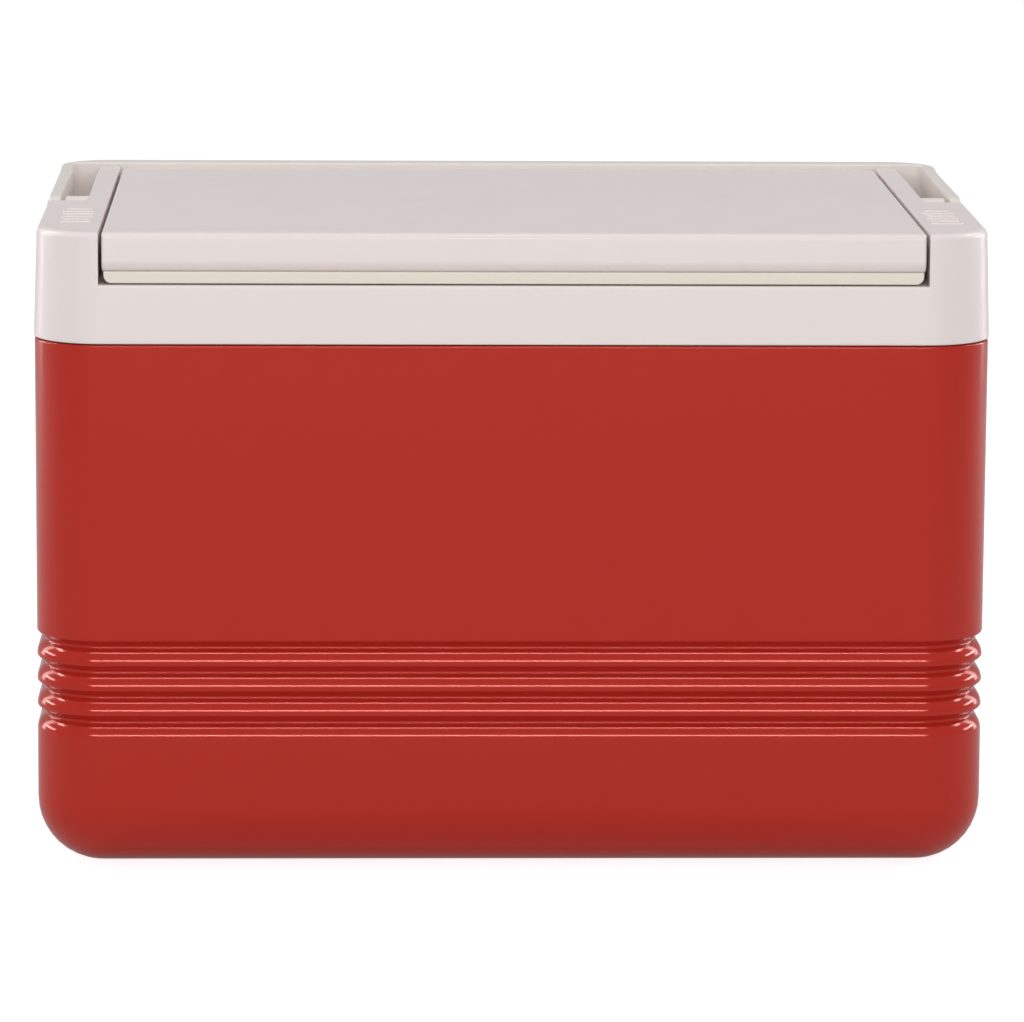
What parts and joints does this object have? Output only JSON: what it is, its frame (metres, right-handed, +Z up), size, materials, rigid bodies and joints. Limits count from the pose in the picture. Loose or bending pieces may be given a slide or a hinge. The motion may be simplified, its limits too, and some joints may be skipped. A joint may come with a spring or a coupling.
{
  "type": "personal cooler",
  "caption": "Small hard-sided cooler box with a grooved body, a pale collar, a rear-hinged insulated lid and a bail handle that folds down behind the lid.",
  "frame": {"origin": "on the ground under the middle of the cooler", "axes": "+X along the cooler's long side to the right as seen from the front, -Y out of the front, +Z up"},
  "size_m": [0.356, 0.235, 0.2415],
  "materials": {
    "shell_red": "moulded polyethylene, satin",
    "trim_white": "moulded polypropylene, fine satin",
    "liner_white": "moulded polypropylene, satin, slightly cream",
    "handle_white": "moulded polypropylene, satin",
    "pin_white": "moulded nylon, satin",
    "foam": "rigid polyurethane foam, matt"
  },
  "bodies": {
    "tub": {"outer_shell": "shell_red", "body_foam": "foam", "inner_liner": "liner_white", "collar": "trim_white", "hinge_pin_left": "pin_white", "hinge_pin_right": "pin_white", "handle_pivot_left": "pin_white", "handle_pivot_right": "pin_white"},
    "lid": {"lid_cover": "trim_white", "lid_foam": "foam", "lid_liner": "liner_white"},
    "handle": {"carry_handle": "handle_white"}
  },
  "joints": [
    {"name": "lid_hinge", "type": "hinge", "parent": "tub", "child": "lid", "pos_m": [0, 0.096, 0.2331], "axis": [-1, 0, 0], "range_deg": [0, 105]},
    {"name": "handle_swing", "type": "hinge", "parent": "tub", "child": "handle", "pos_m": [0, 0, 0.2326], "axis": [1, 0, 0], "range_deg": [0, 115]}
  ]
}
